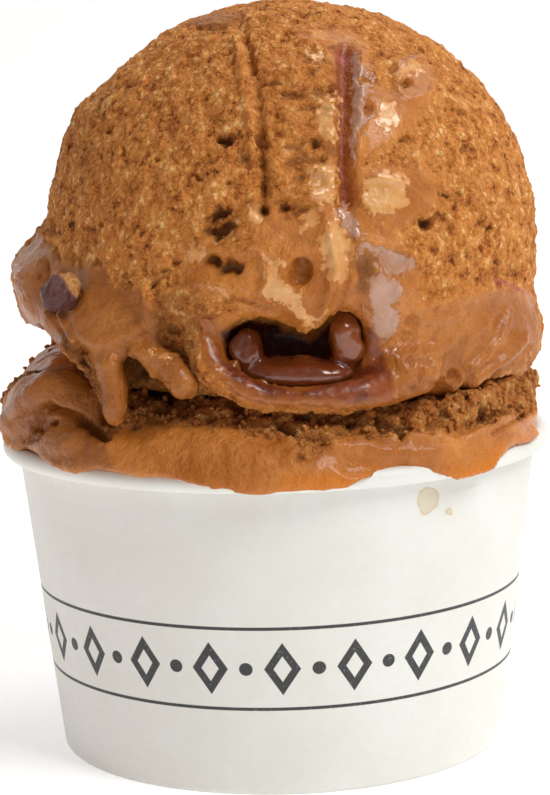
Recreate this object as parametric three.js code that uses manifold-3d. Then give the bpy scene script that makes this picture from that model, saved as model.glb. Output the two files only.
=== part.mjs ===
// A paper cup heaped with two portions of caramel gelato.
// The lower portion fills the cup and melts over its rolled rim. The upper one is a ball with
// melted lobes and drips, a hollow with a caramel pool, and one piece of nut.
// Millimetres, +Z up, the origin at the centre of the cup's foot, the front towards -Y.

import * as THREE from "three";
import { mergeVertices } from "three/addons/utils/BufferGeometryUtils.js";
import Module from "manifold-3d";

const wasm = await Module();
wasm.setup();

// Driving dimensions of the cup
const RIM_DIAMETER = 92;
const FOOT_DIAMETER = 75;
const CUP_HEIGHT = 52.6;
const BEAD_DIAMETER = 3.0;
const PAPER = 0.45;
const FLOOR_HEIGHT = 6.0;
const FOOT_FOLD = 1.1;
const CUP_SEGMENTS = 44;

// Driving dimensions of the gelato
const BALL_DIAMETER = 81.4;
const BALL_CENTRE = new THREE.Vector3(3, 0, 82.9);
const EDGE_THICKNESS = 0.9;
const GAP = 0.3;
const CRUMB_SIZE = 4.5;
const CRUMB_RELIEF = 0.35;
const BASE_CRUMBS = 1.1;

// How fine the faces are, and how much finer on the front
const BALL_DETAIL = 12;
const BASE_SEGMENTS = 51;
const FRONT_DETAIL = 0.35;

// Sizes that follow from the driving ones
const BEAD_RADIUS = BEAD_DIAMETER / 2;
const BEAD_CENTRE_R = RIM_DIAMETER / 2 - BEAD_RADIUS;
const BEAD_CENTRE_Z = CUP_HEIGHT - BEAD_RADIUS;
const WALL_TOP_R = BEAD_CENTRE_R - BEAD_RADIUS + PAPER;
const WALL_SLOPE = (WALL_TOP_R - FOOT_DIAMETER / 2) / BEAD_CENTRE_Z;
const BALL_RADIUS = BALL_DIAMETER / 2;

const wallOuter = (z) => FOOT_DIAMETER / 2 + WALL_SLOPE * z;
const wallInner = (z) => wallOuter(z) - PAPER;
const radians = THREE.MathUtils.degToRad;

// Smooth noise in space, from -1 to 1, the same on every run.
function corner(x, y, z) {
  let h = Math.imul(x, 374761393) ^ Math.imul(y, 668265263) ^ Math.imul(z, 1274126177);
  h = Math.imul(h ^ (h >>> 13), 1103515245);
  return (((h ^ (h >>> 16)) >>> 0) / 4294967295) * 2 - 1;
}

function noise(p, size) {
  const x = p.x / size;
  const y = p.y / size;
  const z = p.z / size;
  const [i, j, k] = [Math.floor(x), Math.floor(y), Math.floor(z)];
  const ease = (t) => t * t * (3 - 2 * t);
  const [u, v, w] = [ease(x - i), ease(y - j), ease(z - k)];
  let sum = 0;
  for (const [a, b, c] of [0, 1, 2, 3, 4, 5, 6, 7].map((n) => [n & 1, (n >> 1) & 1, n >> 2])) {
    sum += corner(i + a, j + b, k + c) * (a ? u : 1 - u) * (b ? v : 1 - v) * (c ? w : 1 - w);
  }
  return sum;
}

// A value read from a short list of [place, value] pairs, eased between them.
function along(list, place) {
  const last = list.length - 1;
  if (place <= list[0][0]) return list[0][1];
  if (place >= list[last][0]) return list[last][1];
  const n = list.findIndex(([at]) => at > place);
  const [a, from] = list[n - 1];
  const [b, to] = list[n];
  return from + (to - from) * THREE.MathUtils.smoothstep(place, a, b);
}

// A geometry with merged corners, as a solid for cutting and joining.
function solid(geometry) {
  const bare = geometry.clone();
  bare.deleteAttribute("normal");
  bare.deleteAttribute("uv");
  const merged = mergeVertices(bare, 1e-4);
  return new wasm.Manifold(
    new wasm.Mesh({
      numProp: 3,
      vertProperties: merged.getAttribute("position").array,
      triVerts: new Uint32Array(merged.index.array),
    }),
  );
}

function part(name, made, colour, roughness) {
  const { vertProperties, triVerts } = made.getMesh();
  const geometry = new THREE.BufferGeometry();
  geometry.setAttribute("position", new THREE.BufferAttribute(vertProperties, 3));
  geometry.setIndex(new THREE.BufferAttribute(triVerts, 1));
  geometry.computeVertexNormals();
  const material = new THREE.MeshStandardMaterial({ color: colour, roughness, metalness: 0 });
  const mesh = new THREE.Mesh(geometry, material);
  mesh.name = name;
  return mesh;
}

// The biggest body of a solid: loose scraps left by a cut are dropped.
function whole(made) {
  return made.decompose().reduce((a, b) => (a.volume() > b.volume() ? a : b));
}

function join(solids) {
  return solids.reduce((a, b) => a.add(b));
}

// A lathe about Z from [radius, height] pairs that run anticlockwise in that plane.
function turned(profile, segments) {
  const points = profile.map(([r, z]) => new THREE.Vector2(r, z));
  return new THREE.LatheGeometry(points, segments).rotateX(Math.PI / 2);
}

// A lump: a ball stretched to three radii, turned, with an uneven face.
function lump({ at, size, turn = 0, tilt = 0, detail = 3, rough = 0 }, grow = 0) {
  const g = new THREE.IcosahedronGeometry(1, detail);
  const place = g.getAttribute("position");
  const p = new THREE.Vector3();
  for (let n = 0; n < place.count; n += 1) {
    p.fromBufferAttribute(place, n);
    const uneven = 1 + rough * noise(p.clone().addScalar(at[0]), 0.45);
    p.set(p.x * (size[0] + grow), p.y * (size[1] + grow), p.z * (size[2] + grow));
    p.multiplyScalar(uneven);
    place.setXYZ(n, p.x, p.y, p.z);
  }
  g.rotateY(radians(tilt)).rotateZ(radians(turn)).translate(...at);
  return solid(g);
}

// A drip or fold: a capsule bent along a curve, with a radius at each point of its path.
// Its depth, away from the ball, can be less than its width.
function drip({ path, radii, sides = 8, steps = 6, deep = 1 }, grow = 0) {
  const curve = new THREE.CatmullRomCurve3(path.map((p) => new THREE.Vector3(...p)));
  const g = new THREE.CapsuleGeometry(1, 1, 3, sides, steps);
  const place = g.getAttribute("position");
  const widths = radii.map((r, n) => [n / (radii.length - 1), r]);
  for (let n = 0; n < place.count; n += 1) {
    const [x, y, z] = [place.getX(n), place.getY(n), place.getZ(n)];
    const share = THREE.MathUtils.clamp(y + 0.5, 0, 1);
    const radius = along(widths, share);
    const p = curve.getPoint(share);
    const forward = curve.getTangent(share);
    const side = forward.clone().cross(p.clone().sub(BALL_CENTRE)).normalize();
    const outward = side.clone().cross(forward);
    p.addScaledVector(side, x * (radius + grow));
    p.addScaledVector(outward, z * (radius * deep + grow));
    p.addScaledVector(forward, (y + 0.5 - share) * (radius + grow));
    place.setXYZ(n, p.x, p.y, p.z);
  }
  return solid(g);
}

// Paper cup: a tapered wall, a floor set up inside the foot, and a rim rolled outwards.
function paperCup() {
  const bead = (radius, from, to, steps) =>
    Array.from({ length: steps + 1 }, (_, n) => {
      const a = radians(from + ((to - from) * n) / steps);
      return [BEAD_CENTRE_R + radius * Math.cos(a), BEAD_CENTRE_Z + radius * Math.sin(a)];
    });
  const innerRoll = BEAD_RADIUS - PAPER;
  return turned(
    [
      [0, FLOOR_HEIGHT],
      [wallInner(FLOOR_HEIGHT) - FOOT_FOLD, FLOOR_HEIGHT],
      [wallInner(0) - FOOT_FOLD, 0],
      [wallOuter(0), 0],
      [wallOuter(BEAD_CENTRE_Z - 0.2), BEAD_CENTRE_Z - 0.2],
      ...bead(innerRoll, 150, -120, 6),
      ...bead(BEAD_RADIUS, -120, 180, 9),
      [wallInner(FLOOR_HEIGHT + PAPER), FLOOR_HEIGHT + PAPER],
      [0, FLOOR_HEIGHT + PAPER],
    ],
    CUP_SEGMENTS,
  );
}

// The space that the cup's wall and bead need, grown by half the gap.
function aroundCup() {
  const reach = BEAD_RADIUS + GAP / 2;
  const under = BEAD_CENTRE_Z - 1.2;
  const start = Math.asin((under - BEAD_CENTRE_Z) / reach);
  const arc = Array.from({ length: 9 }, (_, n) => {
    const a = start + ((Math.PI - start) * n) / 8;
    return [BEAD_CENTRE_R + reach * Math.cos(a), BEAD_CENTRE_Z + reach * Math.sin(a)];
  });
  return turned(
    [
      [wallInner(-2) - GAP / 2, -2],
      [RIM_DIAMETER, -2],
      [RIM_DIAMETER, under],
      ...arc,
      [wallInner(BEAD_CENTRE_Z - 1) - GAP / 2, BEAD_CENTRE_Z - 1],
      [wallInner(-2) - GAP / 2, -2],
    ],
    BASE_SEGMENTS,
  );
}

// Where the melted edge ends on the bead's section, in degrees: with no cover, and with all of it
const EDGE_ON_TOP = 95;
const EDGE_AT_CREASE = -48;

// How far the melted edge runs down the bead, by degrees round from the front: 1 is all the way.
const RIM_COVER = [
  [-180, 1], [-160, 0.7], [-140, 0.2], [-115, 0.3], [-95, 0.1], [-80, 0.1], [-72, 0.5], [-66, 0.5],
  [-62, 0], [-57, 0.3], [-50, 0.62], [-42, 0.64], [-37, 0.42], [-28, 0.56], [-23.5, 0.45], [-17, 0.67],
  [-9, 0.86], [-4, 1], [14, 1], [19, 0.15], [27, 0.08], [31, 0.4], [33.5, 1], [46, 1], [49, 0.6],
  [53, 0.35], [63, 0.5], [69, 0.4], [76, -0.15], [102, -0.15], [120, 0.5], [145, 0.15], [165, 0.8], [180, 1],
];

// The heap above the melted edge, as [radius, height] from outside in: at the front, at the left
// where it is folded high, and at the sides where it stays inside the bead.
const HEAP_FRONT = [
  [46.4, 53], [45.9, 54.6], [44.9, 56.2], [43.3, 57.5], [41, 58.3],
  [38.8, 59.4], [37.2, 61], [33, 62.6], [18, 62],
];
const HEAP_LEFT = [
  [45.8, 53.2], [45.8, 55], [45.6, 57], [44.7, 59.4], [43.1, 62],
  [41, 64.6], [38, 66.6], [33, 67], [18, 64],
];
const HEAP_SIDE = [
  [43.9, 54], [43.8, 55.4], [43.6, 57], [43.4, 59], [42.9, 60.8],
  [41.5, 61.8], [38.5, 62.4], [33, 63], [18, 62],
];
const LEFT_SHARE = [[-150, 0], [-115, 1], [-72, 1], [-48, 0]];
const SIDE_SHARE = [
  [-170, 0], [-150, 0.7], [-120, 0], [50, 0], [76, 1], [104, 1], [130, 0.2], [150, 0.8], [170, 0],
];
const CRUMB_SHARE = [[54, 0.2], [57, 0.4], [58.5, 1]];

// One slice of the lower portion, from the middle of its foot round to the middle of its top.
function baseSlice(angle, grow) {
  const cover = along(RIM_COVER, angle);
  const left = along(LEFT_SHARE, angle);
  const side = along(SIDE_SHARE, angle);
  const end = EDGE_ON_TOP + (EDGE_AT_CREASE - EDGE_ON_TOP) * cover;
  const onBead = (degrees, reach) => [
    BEAD_CENTRE_R + reach * Math.cos(radians(degrees)),
    BEAD_CENTRE_Z + reach * Math.sin(radians(degrees)),
  ];
  const inside = BEAD_RADIUS + GAP + 0.02;
  const under = [0, 1, 2, 3, 4, 5].map((n) => onBead(180 + ((end - 180) * n) / 5, inside));
  const tip = onBead(end + 9, inside + EDGE_THICKNESS);
  const heap = HEAP_FRONT.map(([r, z], n) => [
    r + (HEAP_LEFT[n][0] - r) * left + (HEAP_SIDE[n][0] - r) * side * (1 - left),
    z + (HEAP_LEFT[n][1] - z) * left + (HEAP_SIDE[n][1] - z) * side * (1 - left),
  ]);
  for (const n of [0, 1]) {
    heap[n] = [Math.min(heap[n][0], tip[0] + 0.5 + 0.6 * n), Math.max(heap[n][1], tip[1] + 0.8 + 1.2 * n)];
  }
  const middle = [(tip[0] + heap[0][0]) / 2 + 0.35 * Math.max(cover, 0), (tip[1] + heap[0][1]) / 2];
  return [
    [0, FLOOR_HEIGHT + PAPER + GAP],
    [wallInner(7) - GAP - 0.02, FLOOR_HEIGHT + PAPER + GAP],
    [wallInner(48) - GAP - 0.02, 48],
    ...under,
    tip,
    middle,
    ...heap.map(([r, z], n) => [r + grow, z + (n > 3 ? grow : 0)]),
    [0, 62 + grow],
  ];
}

// Lower portion: the fill of the cup, a melted edge over the bead and a crumbly heap above it.
// Its slices stand closer together at the front.
function basePortion(grow = 0) {
  const rings = baseSlice(0, 0).length;
  const g = turned(baseSlice(0, 0), BASE_SEGMENTS);
  const place = g.getAttribute("position");
  const p = new THREE.Vector3();
  for (let n = 0; n < place.count; n += 1) {
    const share = Math.floor(n / rings) / BASE_SEGMENTS - 0.5;
    const turn = 360 * (share === 0.5 ? -0.5 : share);
    const angle = turn - THREE.MathUtils.radToDeg(FRONT_DETAIL * Math.sin(radians(turn)));
    const [r, z] = baseSlice(angle, grow)[n % rings];
    p.set(r * Math.sin(radians(angle)), -r * Math.cos(radians(angle)), z);
    if (z > 54 && r > 1) {
      const crumbs = along(CRUMB_SHARE, z) * BASE_CRUMBS * noise(p, CRUMB_SIZE);
      const swell = 0.6 * noise(p, 11);
      p.multiplyScalar(1 + (crumbs + swell) / r);
      p.z = z + 0.5 * (crumbs + swell);
    }
    place.setXYZ(n, p.x, p.y, p.z);
  }
  return solid(g);
}

// Folds of soft gelato on the lower portion: two rolls on the left, a small drip over the bead,
// layers on the right and round the back.
const BASE_FOLDS = [
  {
    path: [[-42, -9, 58.5], [-38.5, -18, 61.5], [-32.5, -25, 61], [-27.5, -28.5, 57.5]],
    radii: [3, 4, 3.8, 2.6],
  },
  { path: [[-38.5, -22.5, 54.6], [-33, -29, 55.6], [-27, -33.5, 55.4]], radii: [1.8, 2.7, 1.8] },
  { path: [[-42.8, -12, 57], [-44, -13.5, 54.6], [-43.6, -14.5, 52.8]], radii: [1.6, 1.3, 1], steps: 4 },
  { path: [[21, -35, 58], [30, -28, 60], [37, -18, 61.4]], radii: [1.8, 2.4, 2] },
  { path: [[12, 38, 58.5], [-6, 40.5, 59.5], [-24, 34, 58.5]], radii: [2.4, 3, 2.4] },
  { path: [[34, 22, 59.6], [41, 6, 58.6], [41.5, -6, 58]], radii: [2.4, 2.6, 2] },
];
const baseFolds = (grow = 0) => BASE_FOLDS.map((fold) => drip(fold, grow));

// Drips from the left lobe, and the lip under the hollow.
const DRIPS = [
  {
    path: [[-24.6, -29.4, 71.5], [-25.4, -32.6, 66.5], [-25.2, -34.2, 62.4], [-24.8, -34.6, 60.4]],
    radii: [5, 2.5, 2.1, 2.2],
  },
  { path: [[-31.5, -25.5, 71.5], [-29, -30.5, 67], [-26.4, -33.4, 63.6]], radii: [3, 1.5, 1.2], steps: 5 },
  { path: [[-20.8, -32.8, 71], [-17.6, -35.8, 67.6], [-14.6, -37.2, 65.2]], radii: [2.6, 1.7, 1.8], steps: 5 },
  {
    path: [
      [-11.8, -35, 74.4], [-10.4, -38, 69], [-5, -39, 64.8],
      [4.5, -39.2, 63], [14.5, -37.4, 63.6], [21.5, -34, 66.5],
    ],
    radii: [1.8, 2.5, 2.7, 2.5, 3, 4.4],
    sides: 10,
    steps: 14,
    deep: 1.15,
  },
];

// Tooth that hangs over the hollow from its upper edge.
const TOOTH = {
  path: [[3.4, -35.2, 81], [3.8, -38, 77], [5.3, -39.8, 72.7]],
  radii: [6.2, 5, 0.7],
  steps: 5,
  deep: 0.6,
};

// What is hollowed out of the ball: the mouth, its two deeper ends, craters and torn crevices.
const HOLLOWS = [
  { at: [3.4, -37.6, 70.8], size: [9, 10.6, 5], tilt: 4, rough: 0.05 },
  { at: [-2.9, -38.5, 73.3], size: [4.2, 8, 2.3], tilt: -8, rough: 0.1, detail: 2 },
  { at: [10.6, -38, 72], size: [3.4, 7, 5], tilt: -6, rough: 0.04, detail: 2 },
  { at: [-7.6, -40, 89.6], size: [3.6, 3.4, 1.8], rough: 0.12, detail: 2 },
  { at: [-8.4, -40.4, 83.1], size: [3, 3.2, 1.3], rough: 0.12, detail: 2 },
  { at: [4.4, -42, 82.6], size: [1.8, 3.4, 2.2], rough: 0.06, detail: 2 },
  { at: [2.8, -40.4, 92.8], size: [3, 1.6, 0.8], tilt: -22, detail: 1 },
  { at: [23.6, -35.4, 88.8], size: [3, 2.6, 0.9], turn: 30, tilt: -28, detail: 1 },
  { at: [14.9, -31.4, 107], size: [1.2, 2.2, 1.3], detail: 1 },
  { at: [-41.5, -6, 79.4], size: [3, 2.6, 1.1], detail: 1 },
  { at: [-37.4, -21, 75.4], size: [1, 5, 4.4], turn: -30, tilt: 12, detail: 2 },
];

// Narrow grooves drawn down the front of the ball: a crease on the left and the caramel seam.
const GROOVES = [
  {
    path: [
      [-6, -18.4, 118.8], [-3, -29.4, 111.2], [-1, -35.6, 103.6], [-0.7, -38.8, 97], [-1.4, -40.4, 91.4],
    ],
    radii: [0.9, 1, 0.9, 1.2, 0.9],
    sides: 6,
    steps: 12,
    deep: 1.4,
  },
  {
    path: [[11.6, -24.6, 115.8], [12.6, -32.8, 106.6], [12.2, -37.8, 97.6], [11.8, -40, 90.2]],
    radii: [1.3, 1.5, 1.4, 1],
    sides: 6,
    steps: 12,
    deep: 0.9,
  },
];

// Where the ball stands out: degrees round from the front and up from its middle, the reach in
// degrees each way, the height in millimetres, and the share of the reach that is flat on top.
const SWELLS = [
  { round: -95, up: -7.5, wide: 45, tall: 12.5, height: 5.9, flat: 0.6 },
  { round: -50, up: -15, wide: 22, tall: 13, height: 5.2, flat: 0.35 },
  { round: 66, up: -25, wide: 46, tall: 17, height: 4.4, flat: 0.3 },
  { round: 3, up: -4, wide: 30, tall: 13, height: 1.5, flat: 0.4 },
  { round: -22, up: -6, wide: 20, tall: 6, height: 1.4, flat: 0.2 },
  { round: -90, up: 33, wide: 26, tall: 13, height: 1.2, flat: 0 },
  { round: 84, up: 26, wide: 50, tall: 28, height: 1.1, flat: 0 },
  { round: 150, up: -27, wide: 50, tall: 15, height: 4.6, flat: 0.3 },
  { round: -160, up: -20, wide: 34, tall: 14, height: 3.8, flat: 0.3 },
];

function swell(way) {
  const round = THREE.MathUtils.radToDeg(Math.atan2(way.x, -way.y));
  const up = THREE.MathUtils.radToDeg(Math.asin(way.z));
  let sum = 0;
  for (const s of SWELLS) {
    const across = ((round - s.round + 540) % 360) - 180;
    const away = Math.hypot(across / s.wide, (up - s.up) / s.tall);
    sum += s.height * (1 - THREE.MathUtils.smoothstep(away, s.flat, 1));
  }
  return sum;
}

// The ball: its faces are smaller on the front, where it has the most form.
function ball() {
  const g = new THREE.IcosahedronGeometry(1, BALL_DETAIL);
  const place = g.getAttribute("position");
  const way = new THREE.Vector3();
  const p = new THREE.Vector3();
  for (let n = 0; n < place.count; n += 1) {
    way.fromBufferAttribute(place, n).normalize();
    way.y -= FRONT_DETAIL;
    way.normalize();
    p.copy(way).multiplyScalar(BALL_RADIUS);
    const relief = CRUMB_RELIEF * noise(p, CRUMB_SIZE) + 0.5 * noise(p, 14);
    p.copy(way).multiplyScalar(BALL_RADIUS + swell(way) + relief);
    p.add(BALL_CENTRE);
    place.setXYZ(n, p.x, p.y, p.z);
  }
  return solid(g);
}

// Caramel: a pool in the hollow's floor that coats a lump at each end.
const POOL = [
  { at: [3.4, -35.4, 66.6], size: [9.2, 4.8, 2.6], tilt: 3, detail: 2 },
  { at: [-4.5, -35.9, 70.3], size: [2.7, 3, 3.4], tilt: 10, rough: 0.06, detail: 1 },
  { at: [10.9, -35.4, 71.6], size: [2.8, 3.4, 4.7], tilt: -4, rough: 0.05, detail: 2 },
];
const pool = (grow) => join(POOL.map((x) => lump(x, grow)));

// Piece of nut, half sunk in the left lobe.
const NUT = { at: [-33, -28, 79], size: [3.4, 2.6, 2.9], turn: 35, tilt: -25, rough: 0.16, detail: 2 };

const GELATO = 0xb57a3e;
const CARAMEL = 0x6e2c16;
const base = whole(join([basePortion(), ...baseFolds()]).subtract(solid(aroundCup())));
const nut = lump(NUT);
const clear = join([basePortion(GAP), ...baseFolds(GAP)]);
const caramel = whole(pool(0).subtract(clear));
const heap = join([ball(), ...DRIPS.map((x) => drip(x))]);
const hollows = join([...HOLLOWS.map((x) => lump(x)), ...GROOVES.map((x) => drip(x))]);
const torn = join([heap.subtract(hollows), drip(TOOTH)]);
const top = whole(torn.subtract(join([pool(GAP), lump(NUT, GAP)])).subtract(clear));

const gelatoCup = new THREE.Group();
gelatoCup.add(part("paper_cup", solid(paperCup()), 0xe9eae6, 0.6));
gelatoCup.add(part("base_portion", base, GELATO, 0.5));
gelatoCup.add(part("top_portion", top, GELATO, 0.6));
gelatoCup.add(part("caramel_pool", caramel, CARAMEL, 0.15));
gelatoCup.add(part("nut_piece", nut, 0xb98a4a, 0.7));

export default gelatoCup;
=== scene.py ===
import math
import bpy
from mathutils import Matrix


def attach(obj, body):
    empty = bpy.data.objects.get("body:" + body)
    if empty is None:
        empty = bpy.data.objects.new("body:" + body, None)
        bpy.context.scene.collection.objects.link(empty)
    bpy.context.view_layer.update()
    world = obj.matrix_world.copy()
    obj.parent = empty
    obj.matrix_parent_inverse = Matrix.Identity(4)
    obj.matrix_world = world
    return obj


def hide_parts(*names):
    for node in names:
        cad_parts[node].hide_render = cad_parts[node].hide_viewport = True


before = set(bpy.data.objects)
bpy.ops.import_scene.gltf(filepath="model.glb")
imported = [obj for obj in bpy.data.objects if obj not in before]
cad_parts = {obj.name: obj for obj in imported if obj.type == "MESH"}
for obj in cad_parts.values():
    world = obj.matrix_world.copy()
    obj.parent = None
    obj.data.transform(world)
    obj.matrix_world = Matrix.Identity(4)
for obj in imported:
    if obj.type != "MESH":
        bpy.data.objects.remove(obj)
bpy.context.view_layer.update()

from types import SimpleNamespace
import bmesh
import bpy
import numpy as np
from mathutils import Matrix, Vector, noise

MM = 0.001

# The cup's real sizes in millimetres
RIM_RADIUS = 46.0
FOOT_RADIUS = 37.5
CUP_HEIGHT = 52.6
BEAD_RADIUS = 1.5
PAPER = 0.45
FLOOR_HEIGHT = 6.0
FOOT_FOLD = 1.1
FOOT_EDGE = 0.4
WALL_RINGS = (0.0, 0.6, 2, 8, 16, 24, 32, 40, 47)
CUP_STEPS = 144
BEAD_R = RIM_RADIUS - BEAD_RADIUS
BEAD_Z = CUP_HEIGHT - BEAD_RADIUS
WALL_TOP = BEAD_R - BEAD_RADIUS + PAPER
WALL_END = BEAD_Z - 0.2

# Angles in degrees at which the rolled bead's paper starts inside, turns back and joins the wall
CURL_START = 150
CURL_END = -120
BEAD_END = 180

# The melted skirt over the rim: its top, and how far it sags at the right, in millimetres
SKIRT_TOP = 54.0
SAG = 1.4

# The printed ring, the glued seam and the stains on the wall, in millimetres
PRINT_REPEATS = 22
PRINT_RADIUS = 39.5
PRINT_HEIGHT = 21.0
DIAMOND_HALF_WIDTH = 2.9
DIAMOND_HALF_HEIGHT = 4.4
DIAMOND_EDGE = (1.0, 0.96)
DIAMOND_HOLE = (0.46, 0.5)
DOT_RADIUS = 1.1
RULE_OFFSET = 6.6
RULE_HALF_WIDTH = 0.3
RULE_BLUR = 0.06
DOT_BLUR = 0.08
STAIN_WAVES = 2.2
STAIN_WANDER = 2.6
SEAM_STEP = (0.0, 0.15)
SEAM_FADE = (7.0, 5.0)
STAINS = [((23.1, -36.1, 46.3), 2.3), ((26.7, -33.2, 43.7), 0.9)]

# The camera that took the photograph, in millimetres, pixels and degrees
PHOTO_WIDTH = 550
PHOTO_HEIGHT = 795
CAMERA_DISTANCE = 400.0
CAMERA_HEIGHT_ANGLE = 9.045
CAMERA_ROLL = 1.461
CAMERA_TARGET = np.array([-0.104, 0.0, 57.172])
FOCAL_PIXELS = 2370.6
SENSOR = 36.0

# Cells of the fine copies in millimetres, and how many times each copy is smoothed
TOP_CELL = 0.9
TOP_SMOOTHING = 12
BASE_CELL = 0.59
BASE_SMOOTHING = 8
SAUCE_CELL = 0.4
SAUCE_SMOOTHING = 6
NUT_CELL = 0.3
NUT_SMOOTHING = 3

# The crumb: a grain and its relief in millimetres, and the sizes and numbers of the loose crumbs
GRAIN = 0.9
GRAIN_RELIEF = 0.5
CRUMB_SIZES = (0.2, 0.62)
CRUMB_STRETCH = (0.6, 1.3)
CRUMB_BATCHES = 18
CRUMBS_A_BATCH = 70
CRUMB_SEED = 11
CRUMBS_FROM_RADIUS = 30.0

# The crumb's pattern: its stretch, its turn in degrees, and how its cells wander in millimetres
CRUMB_STRETCHED = (1.0, 1.0, 1.12)
CRUMB_TURN = -35
CRUMB_WANDER = (0.7, 0.9)

# Wet layers: thickness and size of the ragged edge in millimetres, first margin in pixels, smoothing
SHEET_THICKNESS = 0.2
SHEET_RAGS = 1.3
SHEET_MARGIN = 10
SHEET_SMOOTHING = 10

# How squarely a point must face the camera to be seen, sharply and with a soft edge
SHOWN = 0.05
EDGE_OF_SIGHT = (0.0, 0.15)

# Heights in millimetres between which the unseen sides get wet, and the sauce gets its lumps
TOP_MELT = (64, 60)
BASE_MELT = (58.5, 56.5)
SAUCE_LUMPS = (67.8, 69.5)

# Heights in millimetres between which the soft portion gets painted shade under the ball, and turns amber
# at the rim
SHADE_UNDER_BALL = (60, 66)
RIM_AMBER = (53.0, 50.8)

# Points of the soft portion that are less wet than this can carry loose crumbs
DRY_ENOUGH = 0.3


def camera_axes():
    """The camera's place and its right, up and forward axes before the roll, in millimetres."""
    tilt = math.radians(CAMERA_HEIGHT_ANGLE)
    back = np.array([0.0, -math.cos(tilt), math.sin(tilt)])
    right = np.array([1.0, 0.0, 0.0])
    return CAMERA_TARGET + back * CAMERA_DISTANCE, right, np.cross(right, -back), -back


def photo_place(points):
    """Where points in millimetres fall in the photograph's frame of 550 by 795 pixels."""
    eye, right, up, forward = camera_axes()
    away = points - eye
    depth = away @ forward
    across = FOCAL_PIXELS * (away @ right) / depth
    above = FOCAL_PIXELS * (away @ up) / depth
    turn = math.radians(CAMERA_ROLL)
    c = math.cos(turn)
    s = math.sin(turn)
    x = PHOTO_WIDTH / 2 + c * across - s * above
    y = PHOTO_HEIGHT / 2 - s * across - c * above
    return np.stack([x, y], axis=1)


def facing(points, normals):
    """How squarely each point faces the camera, from -1 to 1."""
    eye = camera_axes()[0]
    to_eye = eye - points
    to_eye = to_eye / np.linalg.norm(to_eye, axis=1)[:, None]
    return np.sum(to_eye * normals, axis=1)


def sight(points, normals):
    """1 on the side that the camera sees and 0 on the other."""
    return smooth_step(facing(points, normals), *EDGE_OF_SIGHT)


def smooth_step(value, low, high):
    """0 below low, 1 above high and a smooth rise between; low may be the larger one."""
    t = np.clip((value - low) / (high - low), 0, 1)
    return t * t * (3 - 2 * t)


def line_distance(places, line):
    """Distance from each place to the nearest spot of a line through points."""
    nearest = np.full(len(places), 1e9)
    for start, end in zip(line[:-1], line[1:]):
        a = np.array(start, float)
        d = np.array(end, float) - a
        t = np.clip((places - a) @ d / (d @ d), 0, 1)
        nearest = np.minimum(nearest, np.linalg.norm(places - a - t[:, None] * d, axis=1))
    return nearest


def depth_inside(places, outline):
    """Distance in from a closed outline, negative outside it."""
    ring = list(outline) + [outline[0]]
    inside = np.zeros(len(places), bool)
    for (x0, y0), (x1, y1) in zip(ring[:-1], ring[1:]):
        if y0 == y1:
            continue
        crosses = (y0 > places[:, 1]) != (y1 > places[:, 1])
        at = x0 + (places[:, 1] - y0) * (x1 - x0) / (y1 - y0)
        inside ^= crosses & (places[:, 0] < at)
    return np.where(inside, 1, -1) * line_distance(places, ring)


def stroke(places, line, width):
    """1 along a line, falling smoothly to 0 at half the width from it."""
    return smooth_step(line_distance(places, line), width / 2, 0)


def area(places, outline, edge=4):
    """1 inside an outline and 0 outside, with an edge of that many pixels."""
    return smooth_step(depth_inside(places, outline), -edge / 2, edge / 2)


def spot(places, x, y, wide, high, turn=0):
    """Distance from a spot's centre, 1 at the edge of its ellipse."""
    a = math.radians(turn)
    dx = places[:, 0] - x
    dy = places[:, 1] - y
    along = (dx * math.cos(a) + dy * math.sin(a)) / wide
    across = (dy * math.cos(a) - dx * math.sin(a)) / high
    return np.hypot(along, across)


def lumps(points, size, octaves=2, seed=0):
    """Smooth noise of about -1 to 1 whose lumps have that size in millimetres."""
    shift = Vector((17.3, -9.1, 5.7)) * (seed + 1)
    return np.array([noise.fractal(Vector(p) / size + shift, 1.0, 2.0, octaves) for p in points])


def grains(points, size, seed=0):
    """0 in the gaps between grains of that size and about 1 on their crowns."""
    shift = Vector((3.1, 11.7, -7.9)) * (seed + 1)
    near = np.array([noise.voronoi(Vector(p) / size + shift)[0][0] for p in points])
    return 1 - np.clip(near, 0, 1)


def ragged(points, places, pixels, size, seed=0):
    """Places shaken by noise, so that what is drawn on them gets ragged edges."""
    shake = np.stack([lumps(points, size, 3, seed + 2), lumps(points, size, 3, seed + 5)], axis=1)
    return places + pixels * shake


def read_shape(mesh):
    """A mesh's points in millimetres and its normals."""
    count = len(mesh.vertices)
    points = np.empty(count * 3)
    mesh.vertices.foreach_get("co", points)
    normals = np.empty(count * 3)
    mesh.vertices.foreach_get("normal", normals)
    return points.reshape(-1, 3) / MM, normals.reshape(-1, 3)


def move_out(mesh, points, normals, rise):
    """Moves each point out along its normal by that many millimetres."""
    moved = (points + normals * rise[:, None]) * MM
    mesh.vertices.foreach_set("co", moved.ravel())
    mesh.update()


def keep(mesh, name, values):
    """Stores one number a point for the material to read."""
    kept = mesh.attributes.new(name, "FLOAT", "POINT")
    kept.data.foreach_set("value", np.clip(values, 0, 1).astype(np.float32))


def place_piece(name, mesh, node, material):
    """A finished piece: its object, its body, the node it stands for and its finish."""
    piece = bpy.data.objects.new(name, mesh)
    bpy.context.scene.collection.objects.link(piece)
    mesh.materials.clear()
    mesh.materials.append(material)
    mesh.polygons.foreach_set("use_smooth", [True] * len(mesh.polygons))
    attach(piece, "root")
    if node:
        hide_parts(node)
    return piece


def smooth_out(shape, verts, times):
    """Moves points halfway to the middle of their neighbours, that many times."""
    for _ in range(times):
        bmesh.ops.smooth_vert(shape, verts=verts, factor=0.5, use_axis_x=True, use_axis_y=True,
                              use_axis_z=True)


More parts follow.
